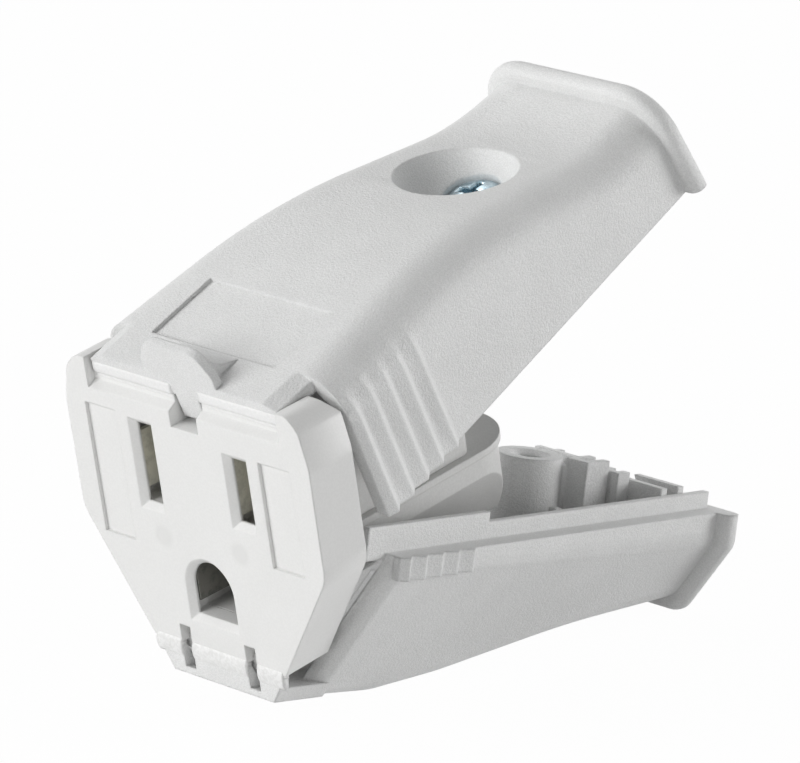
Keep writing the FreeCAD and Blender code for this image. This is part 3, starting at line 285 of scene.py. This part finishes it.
nodeFinish = {  # finish, and width of the broken edges in millimetres
    "face_plate": ("face", 0.03),
    "upper_shell": ("shell", 0.06),
    "lower_shell": ("shell", 0.025),
    # the carrier halves take the darker nylon, partly its own tone and partly painted shade
    "carrier_cover": ("inner", 0.06),
    "carrier_base": ("inner", 0.05),
    "assembly_screw": ("zinc", 0.12),
    "hot_contact": ("brass", 0.06),
    "neutral_contact": ("brass", 0.06),
    # the ground contact takes the brass with painted shade
    "ground_contact": ("brassPaintedShade", 0.06),
}
for side in ("hot", "neutral", "ground"):
    nodeFinish[side + "_clamp_plate"] = ("brass", 0.06)
    nodeFinish[side + "_terminal_screw"] = ("steel", 0.12)

edgeSettings = {  # weld in millimetres, angles in degrees
    "weld": 0.02,
    "flatAngle": 0.4,
    "edgeAngle": 28.0,
    "segments": 3,
    "clamped": ("zinc", "steel", "brass", "brassPaintedShade"),
}


def dressNode(thing, finishName, edgeWidth):
    thing.data.materials.clear()
    thing.data.materials.append(finishes[finishName])
    weld = thing.modifiers.new("weld", "WELD")
    weld.merge_threshold = edgeSettings["weld"] * millimetre
    flats = thing.modifiers.new("flats", "DECIMATE")
    flats.decimate_type = "DISSOLVE"
    flats.angle_limit = math.radians(edgeSettings["flatAngle"])
    edge = thing.modifiers.new("edge", "BEVEL")
    edge.width = edgeWidth * millimetre
    edge.segments = edgeSettings["segments"]
    edge.limit_method = "ANGLE"
    edge.angle_limit = math.radians(edgeSettings["edgeAngle"])
    edge.use_clamp_overlap = finishName in edgeSettings["clamped"]
    edge.harden_normals = True


for node, dress in nodeFinish.items():
    dressNode(nodes[node], *dress)
print("nodes dressed:", len(nodeFinish))


def addMesh(name, points, faces, material, smooth=True):
    mesh = bpy.data.meshes.new(name)
    mesh.from_pydata(points, [], faces)
    mesh.validate()
    work = bmesh.new()
    work.from_mesh(mesh)
    bmesh.ops.recalc_face_normals(work, faces=work.faces)
    work.to_mesh(mesh)
    work.free()
    for polygon in mesh.polygons:
        polygon.use_smooth = smooth
    mesh.materials.append(material)
    thing = bpy.data.objects.new(name, mesh)
    bpy.context.scene.collection.objects.link(thing)
    return thing


def ringFaces(first, rings, count):  # quads between closed rings of points
    faces = []
    for i in range(rings - 1):
        for k in range(count):
            a = first + i * count + k
            b = first + i * count + (k + 1) % count
            faces.append((a, b, b + count, a + count))
    return faces


def ringCap(first, count):
    return tuple(range(first, first + count))


# The living hinges: creased webs that join the face to both shells, in millimetres. A bar has its
# ends and its section, whose points give depth behind the face, height and share of the crumple.
upperWebPlan = {
    "bars": [((-12.6, -1.9), "strip"), ((1.9, 12.6), "strip")],
    "strip": (
        (1.02, 7.8, 0), (0.97, 7.9, 0), (0.965, 8.06, 0.3), (1.1, 8.14, 0.5), (0.9, 8.2, 0.5),
        (0.8, 8.28, 0.4), (0.73, 8.42, 0.6), (0.69, 8.65, 1), (0.66, 8.9, 0.6), (0.64, 9.2, 0.2),
        (0.68, 9.45, 0), (1.2, 9.3, 0), (1.5, 8.5, 0), (1.65, 8.2, 0), (1.5, 7.9, 0),
    ),
    "step": 0.3,
    "crumple": 0.02,
    "creaseLength": 1.6,
    "creaseHeight": 0.3,
    "calmEnd": 1.0,
    "hinge": (1.15, 8.2),
    "turn": 0.25,
}
lowerWebPlan = {
    "bars": [
        ((-8.66, -5.22), "strip"), ((-3.7, 3.7), "strip"), ((5.22, 8.66), "strip"),
        ((-8.0, 8.0), "backing"),
    ],
    "strip": (
        (0.08, -18.35, 0), (-0.04, -18.5, 0), (-0.14, -18.72, 0.1), (-0.2, -18.95, 0.5),
        (-0.23, -19.15, 1), (-0.24, -19.35, 1), (-0.23, -19.55, 1), (-0.2, -19.75, 0.6),
        (-0.15, -19.98, 0.2), (-0.05, -20.25, 0), (0.08, -20.45, 0), (0.5, -19.8, 0),
        (0.62, -18.95, 0), (0.5, -18.45, 0),
    ),
    "backing": ((0.95, -18.2, 0), (0.95, -19.8, 0), (1.3, -19.8, 0), (1.3, -18.2, 0)),
    "step": 0.14,
    "crumple": 0.09,
    "creaseLength": 0.62,
    "creaseHeight": 0.3,
    "calmEnd": 1.0,
    "hinge": (0.0, -18.9),
    "turn": 0.35,
}
wrinklePlan = {"layer": 3.7, "fineScale": 2.3, "fineShare": 0.5}


def wrinkle(across, along):
    fold = Vector((across, along, wrinklePlan["layer"]))
    fine = noise.noise(fold * wrinklePlan["fineScale"])
    return noise.noise(fold) + wrinklePlan["fineShare"] * fine


def addWeb(name, plan, material):
    points = []
    faces = []
    for (low, high), kind in plan["bars"]:
        section = plan[kind]
        count = len(section)
        steps = round((high - low) / plan["step"])
        first = len(points)
        for i in range(steps + 1):
            x = low + (high - low) * i / steps
            calm = min(1, (x - low) / plan["calmEnd"], (high - x) / plan["calmEnd"])
            for y, z, share in section:
                crease = wrinkle(x / plan["creaseLength"], z / plan["creaseHeight"])
                points.append(onFace(x, y + plan["crumple"] * calm * share * crease, z))
        faces += ringFaces(first, steps + 1, count)
        faces += [ringCap(first, count), ringCap(first + steps * count, count)]
    return addMesh(name, points, faces, material)


def joinWeb(web, plan, way):  # way is 1 for the shell above its hinge, -1 for the one below; the hinge points built from it are not used, and the web is only baked in place
    y, z = plan["hinge"]
    tuple(onFace(0, y, z - way * plan["turn"]))
    tuple(onFace(0, y, z + way * plan["turn"]))
    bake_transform(web)


joinWeb(addWeb("upperHingeWeb", upperWebPlan, finishes["rolled"]), upperWebPlan, 1)
joinWeb(addWeb("lowerHingeWeb", lowerWebPlan, finishes["web"]), lowerWebPlan, -1)


# The assembly screw's rolled thread and its cross-recessed head, in millimetres.
threadPlan = {
    "pitch": 1.15,
    "rootRadius": 1.38,
    "crestRadius": 1.57,
    "rootHalf": 0.42,
    "crestHalf": 0.07,
    "length": 7.4,
    "startLift": 0.5,
    "stepsPerTurn": 28,
    "fadeTurns": 0.5,
}
headPlan = {
    "radius": 3.1,
    "skirt": 1.3,
    "crown": 1.25,
    "crownPower": 0.6,
    "sink": 1.9,
    "recessHalf": 0.42,
    "recessReach": 1.75,
    "recessDepth": 1.5,
    "recessEdge": 0.16,
    "recessTaper": 0.35,
    "rings": 44,
    "spokes": 120,
}
screwAxis = Vector(joints["assembly_screw_slide"]["axis"]).normalized()
screwBack = screwAxis.cross(rightward)
endBand = 0.01  # depth of the screw's ends, in millimetres


def screwEnd(node, way):  # middle of the screw's outermost points along its axis
    spots = [vertex.co for vertex in nodes[node].data.vertices]
    furthest = max(spot.dot(screwAxis) * way for spot in spots)
    edge = furthest - endBand * millimetre
    ring = [spot for spot in spots if spot.dot(screwAxis) * way > edge]
    return sum(ring, Vector()) / len(ring)


def aroundScrew(angle):
    return rightward * math.cos(angle) + screwBack * math.sin(angle)


def addScrewPiece(name, points, faces, smooth):
    piece = addMesh(name, points, faces, finishes["zinc"], smooth)
    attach(piece, "screw")


def addThread(plan, tip):
    steps = round(plan["length"] / plan["pitch"] * plan["stepsPerTurn"])
    fadeSteps = plan["stepsPerTurn"] * plan["fadeTurns"]
    root = plan["rootRadius"]
    points = []
    for i in range(steps + 1):
        outward = aroundScrew(2 * math.pi * i / plan["stepsPerTurn"])
        lift = plan["startLift"] + plan["pitch"] * i / plan["stepsPerTurn"]
        grown = min(1, i / fadeSteps, (steps - i) / fadeSteps)
        crest = root + (plan["crestRadius"] - root) * grown
        section = ((root, -plan["rootHalf"]), (crest, -plan["crestHalf"]),
                   (crest, plan["crestHalf"]), (root, plan["rootHalf"]))
        for radius, shift in section:
            points.append(tip + (outward * radius + screwAxis * (lift + shift)) * millimetre)
    count = len(section)
    faces = ringFaces(0, steps + 1, count)
    faces += [ringCap(0, count), ringCap(steps * count, count)]
    addScrewPiece("assemblyScrewThread", points, faces, False)


def recessArm(plan, across, along):  # 1 inside one arm of the cross, 0 outside
    inside = min(plan["recessHalf"] - abs(across), plan["recessReach"] - abs(along))
    return min(1.0, max(0.0, inside / plan["recessEdge"]))


def headHeight(plan, u, v):
    radius = math.hypot(u, v)
    bulge = max(0.0, 1 - (radius / plan["radius"]) ** 2) ** plan["crownPower"]
    taper = 1 - plan["recessTaper"] * radius / plan["recessReach"]
    recess = max(recessArm(plan, u, v), recessArm(plan, v, u)) * taper
    return plan["skirt"] + plan["crown"] * bulge - plan["recessDepth"] * recess


def addHead(plan, top):
    foot = top - screwAxis * plan["sink"] * millimetre
    rings, spokes = plan["rings"], plan["spokes"]
    turns = [2 * math.pi * k / spokes for k in range(spokes)]
    points = [foot + screwAxis * headHeight(plan, 0, 0) * millimetre]
    for i in range(1, rings + 1):
        radius = plan["radius"] * i / rings
        for angle in turns:
            height = headHeight(plan, radius * math.cos(angle), radius * math.sin(angle))
            points.append(foot + (aroundScrew(angle) * radius + screwAxis * height) * millimetre)
    points += [foot + aroundScrew(angle) * plan["radius"] * millimetre for angle in turns]
    faces = [(0, 1 + k, 1 + (k + 1) % spokes) for k in range(spokes)]
    faces += ringFaces(1, rings + 1, spokes)
    faces.append(ringCap(1 + rings * spokes, spokes))
    addScrewPiece("assemblyScrewHead", points, faces, True)


addThread(threadPlan, screwEnd("assembly_screw", -1))
addHead(headPlan, screwEnd("assembly_screw", 1))
print("screw dressed")

cameraView = {  # metres and degrees, with the lens and sensor in millimetres
    "location": (0.358299, -0.380255, 0.172257),
    "turn": (74.599, -1.705, 43.947),
    "lens": 247.5,
    "sensor": 36.0,
    "reach": 20.0,
}


def addCamera(view):
    data = bpy.data.cameras.new("photoView")
    data.lens = view["lens"]
    data.sensor_width = view["sensor"]
    data.sensor_fit = "HORIZONTAL"
    data.clip_end = view["reach"]
    camera = bpy.data.objects.new("photoView", data)
    camera.location = view["location"]
    camera.rotation_euler = Euler([math.radians(angle) for angle in view["turn"]])
    bpy.context.scene.collection.objects.link(camera)
    bpy.context.scene.camera = camera


addCamera(cameraView)
print("camera placed")

studio = {  # lengths in metres
    "floorHalf": 3.0,
    "floorColour": colour(0.9, 0.9, 0.9),
    "floorGlow": 0.98,
    "white": colour(1, 1, 1),
    "worldLight": 0.12,
    "lamps": {  # place, aim, size, power in watts
        "frontSoftbox": ((-0.35, -0.80, 0.25), (0.0, -0.03, 0.02), 0.60, 6.5),
        "topSoftbox": ((-0.45, 0.05, 0.75), (0.0, 0.0, 0.03), 0.60, 2.1),
        "sideSoftbox": ((0.50, 0.75, 0.22), (0.0, 0.0, 0.03), 0.45, 4.3),
        "rightSoftbox": ((0.78, -0.35, 0.10), (0.0, 0.0, 0.02), 0.50, 1.3),
    },
}


def addLamp(name, place, aim, span, power):
    data = bpy.data.lights.new(name, "AREA")
    data.shape = "SQUARE"
    data.size = span
    data.energy = power
    lamp = bpy.data.objects.new(name, data)
    lamp.location = place
    lamp.rotation_euler = (Vector(aim) - Vector(place)).to_track_quat("-Z", "Y").to_euler()
    bpy.context.scene.collection.objects.link(lamp)


def seenDirect(finish):  # 1 for camera, mirror and glass rays
    seen = finish.add("ShaderNodeLightPath", {}, {}, "Is Camera Ray")
    for name in ("Is Glossy Ray", "Is Transmission Ray"):
        seen = seen.maths("MAXIMUM", seen, finish.add("ShaderNodeLightPath", {}, {}, name))
    return seen


def addFloor(plan):
    finish = Finish(bpy.data.materials.new("paleFloor"))
    plain = finish.add("ShaderNodeBsdfDiffuse", {}, {"Color": plan["floorColour"]})
    glow = finish.add("ShaderNodeEmission", {}, {"Color": plan["white"], "Strength": 1.0})
    share = seenDirect(finish) * plan["floorGlow"]
    paint = finish.surface(finish.add("ShaderNodeMixShader", {}, {0: share, 1: plain, 2: glow}))
    half = plan["floorHalf"]
    corners = [(-half, -half, 0), (half, -half, 0), (half, half, 0), (-half, half, 0)]
    addMesh("floor", corners, [(0, 1, 2, 3)], paint, False)


def addWorld(plan):
    sky = Finish(bpy.data.worlds.new("studioWorld"), "ShaderNodeOutputWorld")
    white = plan["white"]
    seen = sky.add("ShaderNodeBackground", {}, {"Color": white, "Strength": 1.0})
    lit = sky.add("ShaderNodeBackground", {}, {"Color": white, "Strength": plan["worldLight"]})
    mixed = sky.add("ShaderNodeMixShader", {}, {0: seenDirect(sky), 1: lit, 2: seen})
    bpy.context.scene.world = sky.surface(mixed)


addFloor(studio)
for name, lamp in studio["lamps"].items():
    addLamp(name, *lamp)
addWorld(studio)
bpy.context.scene.view_settings.view_transform = "Standard"
print("studio ready")
